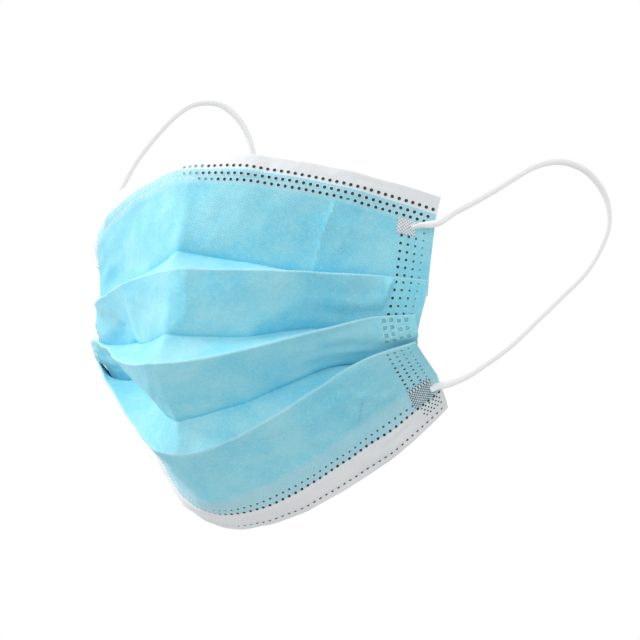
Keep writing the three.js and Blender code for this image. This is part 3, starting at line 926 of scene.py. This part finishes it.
def dot_piece(name, dots, materials):
    """Little pressed cups: a dark floor inside a raised pale rim, one joined mesh."""
    points, faces, tones = [], [], []
    for d in dots:
        sides = 4 if d.tone == CELL else 10
        centre, normal = face_point(d.s, d.t, 0.0, d.panel)
        further = face_point(d.s + 0.3, d.t, 0.0, d.panel)[0]
        beside = unit(further - face_point(d.s - 0.3, d.t, 0.0, d.panel)[0])
        below = np.cross(normal, beside)
        first = len(points)
        points.append(centre + normal * CUP_FLOOR)
        for radius, height in CUP_RINGS:
            for m in range(sides):
                angle = 2 * math.pi * (m + 0.5) / sides
                way = beside * math.cos(angle) + below * math.sin(angle)
                points.append(centre + way * d.radius * radius + normal * height)
        for m in range(sides):
            n = (m + 1) % sides
            a, b, c = (first + 1 + ring * sides for ring in range(3))
            faces.append((first, a + m, a + n))
            tones.append(d.tone)
            for low, high in ((a, b), (b, c)):
                faces.append((low + m, high + m, high + n, low + n))
                tones.append(RIM)
    obj = new_piece(name, points, faces, None, materials, (), 80)
    obj.data.polygons.foreach_set("material_index", tones)
    return obj


class Nodes:
    """One material's nodes. Keywords set the shader's sockets, with _ for a space."""

    def __init__(self, name, colour, roughness, **inputs):
        self.material = bpy.data.materials.new(name)
        self.material.use_nodes = True
        self.tree = self.material.node_tree
        self.shader = self.tree.nodes["Principled BSDF"]
        self.shader.inputs["Base Color"].default_value = (*colour, 1)
        self.shader.inputs["Roughness"].default_value = roughness
        for key, value in inputs.items():
            self.shader.inputs[key.replace("_", " ")].default_value = value
        self.last_bump = None

    def uv(self):
        return self.add("ShaderNodeUVMap", uv_map="cloth").outputs[0]

    def place(self):
        return self.add("ShaderNodeTexCoord").outputs["Object"]

    def add(self, kind, inputs=None, **settings):
        node = self.tree.nodes.new(kind)
        for key, value in settings.items():
            setattr(node, key, value)
        for key, value in (inputs or {}).items():
            if isinstance(value, bpy.types.NodeSocket):
                self.tree.links.new(value, node.inputs[key])
            else:
                node.inputs[key].default_value = value
        return node

    def noise(self, coords, scale, detail=2.0, rough=0.5):
        return self.add("ShaderNodeTexNoise", {"Vector": coords, "Scale": scale, "Detail": detail,
                                               "Roughness": rough}).outputs["Fac"]

    def ramp(self, value, stops):
        node = self.add("ShaderNodeValToRGB", {"Fac": value})
        ramp = node.color_ramp
        while len(ramp.elements) < len(stops):
            ramp.elements.new(0.5)
        for element, (at, colour) in zip(ramp.elements, stops):
            element.position = at
            element.color = (*colour, 1)
        return node.outputs["Color"]

    def math(self, operation, a, b=0.0):
        return self.add("ShaderNodeMath", {0: a, 1: b}, operation=operation).outputs[0]

    def times(self, a, b):
        return self.math("MULTIPLY", a, b)

    def blend(self, share, a, b):
        node = self.add("ShaderNodeMix", data_type="RGBA")
        for socket, value in ((node.inputs[0], share), (node.inputs[6], a), (node.inputs[7], b)):
            if isinstance(value, bpy.types.NodeSocket):
                self.tree.links.new(value, socket)
            else:
                socket.default_value = (*value, 1) if isinstance(value, tuple) else value
        return node.outputs[2]

    def tint(self, base, share, strength, colour):
        """The base colour, moved towards another one."""
        return self.blend(self.times(share, strength), base, colour)

    def bump(self, height, strength, distance):
        inputs = {"Height": height, "Strength": strength, "Distance": distance}
        if self.last_bump is not None:
            inputs["Normal"] = self.last_bump
        self.last_bump = self.add("ShaderNodeBump", inputs).outputs["Normal"]

    def finish(self, colour=None):
        if colour is not None:
            self.tree.links.new(colour, self.shader.inputs["Base Color"])
        if self.last_bump is not None:
            self.tree.links.new(self.last_bump, self.shader.inputs["Normal"])
        return self.material


def crossed_waves(n, uv, per_unit):
    """A diagonal grid of points, 1 at each point and 0 on the lines between them."""
    split = n.add("ShaderNodeSeparateXYZ", {0: uv})
    total = n.times(n.math("ADD", split.outputs[0], split.outputs[1]), per_unit)
    apart = n.times(n.math("SUBTRACT", split.outputs[0], split.outputs[1]), per_unit)
    return n.math("ABSOLUTE", n.times(n.math("SINE", total), n.math("SINE", apart)))


def emboss(n, uv, pitch):
    """Little pressed points on the cloth, pitch millimetres apart."""
    return n.math("POWER", crossed_waves(n, uv, math.pi / (pitch * UV_SCALE)), 2.0)


def band(n, value, low, high):
    """0 below low, 1 above high, even between them."""
    return n.add("ShaderNodeMapRange", {"Value": value, "From Min": low * UV_SCALE,
                                        "From Max": high * UV_SCALE}).outputs[0]


CLOTH_SHADE = {"Sheen_Weight": 0.2, "Sheen_Roughness": 0.5, "Specular_IOR_Level": 0.35}


def blue_cloth():
    n = Nodes("blue_spunbond", (0.27, 0.80, 0.95), 0.62, **CLOTH_SHADE)
    uv = n.uv()
    place = n.place()
    points = emboss(n, uv, 1.1)
    blotches = n.noise(place, 60.0, 4.0, 0.6)
    fibres = n.noise(place, 800.0, 4.0, 0.65)
    base = n.ramp(blotches, [(0.36, (0.215, 0.72, 0.91)), (0.64, (0.36, 0.81, 0.93))])
    base = n.tint(base, points, 0.26, (0.12, 0.64, 0.86))
    bright = n.ramp(fibres, [(0.45, (0, 0, 0)), (0.75, (1, 1, 1))])
    base = n.tint(base, bright, 0.30, (0.60, 0.95, 0.98))
    path = n.add("ShaderNodeSeparateXYZ", {0: uv}).outputs[1]
    leg_end = LAID[-1] - LOWER_FOLD
    low = band(n, path, leg_end - 0.3, leg_end + 0.3)
    high = band(n, path, UPPER_FOLD + 0.3, UPPER_FOLD - 0.3)
    base = n.tint(base, low, 0.45, (0.56, 0.76, 0.82))
    base = n.tint(base, high, 0.25, (0.60, 0.86, 0.93))
    for k in range(0, len(FOLD_ROWS), 4):
        # Painted shade: a deeper blue above each valley line, where the panel over the fold lies in shade;
        # painted highlight: a thin lighter line on each ridge, where the fold's edge catches the light
        valley, valley_end, ridge, ridge_end = LAID[FOLD_ROWS[k:k + 4]]
        above = n.times(band(n, path, valley - 3.2, valley), band(n, path, valley_end + 0.35, valley_end))
        base = n.tint(base, n.math("POWER", above, 2.5), 0.55, (0.06, 0.56, 0.80))
        ridge_highlight = n.times(band(n, path, ridge - 0.4, ridge), band(n, path, ridge_end + 0.3, ridge_end))
        base = n.tint(base, ridge_highlight, 0.30, (0.62, 0.92, 0.97))
    n.bump(points, 0.7, 0.00012)
    n.bump(fibres, 0.35, 0.00009)
    n.bump(n.noise(place, 260.0, 3.0, 0.6), 0.45, 0.0003)
    return n.finish(base)


def white_cloth():
    n = Nodes("white_spunbond", (0.86, 0.88, 0.9), 0.66, **CLOTH_SHADE)
    uv = n.uv()
    place = n.place()
    points = emboss(n, uv, 0.95)
    fibres = n.noise(place, 900.0, 4.0, 0.65)
    blotches = n.noise(place, 60.0, 3.0, 0.55)
    base = n.ramp(blotches, [(0.3, (0.83, 0.86, 0.88)), (0.7, (0.89, 0.905, 0.92))])
    base = n.tint(base, points, 0.10, (0.66, 0.72, 0.76))
    base = n.tint(base, fibres, 0.08, (0.72, 0.76, 0.8))
    n.bump(points, 0.35, 0.00008)
    n.bump(fibres, 0.28, 0.00006)
    return n.finish(base)


def elastic_yarn():
    # The faint white emission is a painted glow: it makes the cord brighter than the lamps alone light it.
    n = Nodes("knitted_elastic", (0.95, 0.95, 0.955), 0.6, Sheen_Weight=0.3, Sheen_Roughness=0.4,
              Emission_Color=(1, 1, 1, 1), Emission_Strength=0.06)
    place = n.place()
    threads = n.noise(place, 2200.0, 3.0, 0.6)
    base = n.ramp(threads, [(0.3, (0.90, 0.905, 0.91)), (0.7, (0.96, 0.96, 0.965))])
    n.bump(threads, 0.3, 0.00005)
    return n.finish(base)


def pressed_elastic(name, ground, hollow, share):
    """Elastic pressed flat, darker in the hollows of its crossed pattern."""
    n = Nodes(name, ground, 0.45)
    uv = n.uv()
    place = n.place()
    crossed = crossed_waves(n, uv, math.pi / (PAD_PITCH * PAD_UV_SCALE))
    marks = n.noise(place, 700.0, 2.0, 0.5)
    mixed = n.math("ADD", crossed, n.times(n.math("SUBTRACT", marks, 0.5), 0.5))
    base = n.ramp(mixed, [(share - 0.09, hollow), (share + 0.09, ground)])
    n.bump(marks, 0.2, 0.00008)
    return n.finish(base)


def pressed_tone(name, colour, roughness):
    n = Nodes(name, colour, roughness)
    place = n.place()
    marks = n.noise(place, 1200.0, 2.0, 0.5)
    darker = tuple(0.75 * c for c in colour)
    lighter = tuple(min(1.0, 1.15 * c) for c in colour)
    n.bump(marks, 0.15, 0.00003)
    return n.finish(n.ramp(marks, [(0.3, darker), (0.7, lighter)]))


def build_mask():
    blue, white = blue_cloth(), white_cloth()
    yarn = elastic_yarn()
    pads = {
        "loop_end_upper": pressed_elastic("pressed_elastic_upper", (0.90, 0.92, 0.93),
                                          (0.30, 0.42, 0.48), 0.22),
        "loop_end_lower": pressed_elastic("pressed_elastic_lower", (0.74, 0.86, 0.90),
                                          (0.03, 0.13, 0.18), 0.36),
    }
    outer = outer_ply(blue)
    inner = inner_ply(white)
    tones = [pressed_tone(f"weld_{name}", colour, 0.4) for name, colour in WELD_TONES]
    hem_rim = pressed_tone("hem_rim", (0.80, 0.90, 0.93), 0.5)
    weld_rim = pressed_tone("weld_rim", (0.52, 0.92, 0.98), 0.5)
    hems = dot_piece("hem_weld_dots", hem_dots(), tones + [hem_rim])
    sides = dot_piece("side_weld_dots", weld_dots(), tones + [weld_rim])
    for side in (1, -1):
        ear_loop(side, yarn)
        for end in ENDS:
            loop_end(end, side, pads[end.name])


# Camera as in the photograph: place in millimetres, angles in degrees
CAMERA_PLACE = (357.35, -526.10, -75.19)
CAMERA_AZIMUTH = 32.126
CAMERA_ELEVATION = -13.401
CAMERA_ROLL = 3.400
CAMERA_LENS = 102.07

# Stage, in metres
FLOOR_HALF = 4.0
FLOOR_LEVEL = -0.45
LIGHT_TARGET = (0, -0.02, 0.06)


def make_camera():
    a, e, r = (math.radians(x) for x in (CAMERA_AZIMUTH, CAMERA_ELEVATION, CAMERA_ROLL))
    right = Vector((math.cos(a), math.sin(a), 0))
    back = Vector((math.sin(a) * math.cos(e), -math.cos(a) * math.cos(e), math.sin(e)))
    up = back.cross(right)
    turned_right = math.cos(r) * right + math.sin(r) * up
    turned_up = -math.sin(r) * right + math.cos(r) * up
    data = bpy.data.cameras.new("camera")
    data.sensor_width = 36
    data.lens = CAMERA_LENS
    data.clip_start = 0.01
    data.clip_end = 50
    camera = bpy.data.objects.new("camera", data)
    matrix = Matrix((turned_right, turned_up, back)).transposed().to_4x4()
    matrix.translation = Vector(CAMERA_PLACE) * MM
    camera.matrix_world = matrix
    bpy.context.scene.collection.objects.link(camera)
    bpy.context.scene.camera = camera


def area_light(name, place, target, size, power):
    data = bpy.data.lights.new(name, "AREA")
    data.shape = "DISK"
    data.size = size
    data.energy = power
    light = bpy.data.objects.new(name, data)
    light.location = place
    light.rotation_euler = (Vector(target) - Vector(place)).to_track_quat("-Z", "Y").to_euler()
    bpy.context.scene.collection.objects.link(light)


def make_stage():
    """A pale floor well below the mask, a white surrounding and a soft light from the upper left."""
    mesh = bpy.data.meshes.new("floor")
    corners = ((-1, -1), (1, -1), (1, 1), (-1, 1))
    mesh.from_pydata([(x * FLOOR_HALF, y * FLOOR_HALF, FLOOR_LEVEL) for x, y in corners],
                     [], [(0, 1, 2, 3)])
    floor = bpy.data.objects.new("floor", mesh)
    bpy.context.scene.collection.objects.link(floor)
    paint = Nodes("floor_paint", (0.58, 0.58, 0.58), 0.9)
    mesh.materials.append(paint.finish())
    world = bpy.data.worlds.new("surrounding")
    world.use_nodes = True
    bpy.context.scene.world = world
    tree = world.node_tree
    shade = tree.nodes["Background"]
    path = tree.nodes.new("ShaderNodeLightPath")
    strength = tree.nodes.new("ShaderNodeMapRange")
    strength.inputs["To Min"].default_value = 0.86
    strength.inputs["To Max"].default_value = 1.0
    tree.links.new(path.outputs["Is Camera Ray"], strength.inputs["Value"])
    tree.links.new(strength.outputs[0], shade.inputs["Strength"])
    shade.inputs["Color"].default_value = (1, 1, 1, 1)
    area_light("key", (-1.2, -0.85, 1.05), LIGHT_TARGET, 0.5, 17)
    area_light("fill", (0.95, -1.05, 0.95), LIGHT_TARGET, 0.9, 2)
    bpy.context.scene.view_settings.view_transform = "Standard"


make_camera()
build_mask()
make_stage()
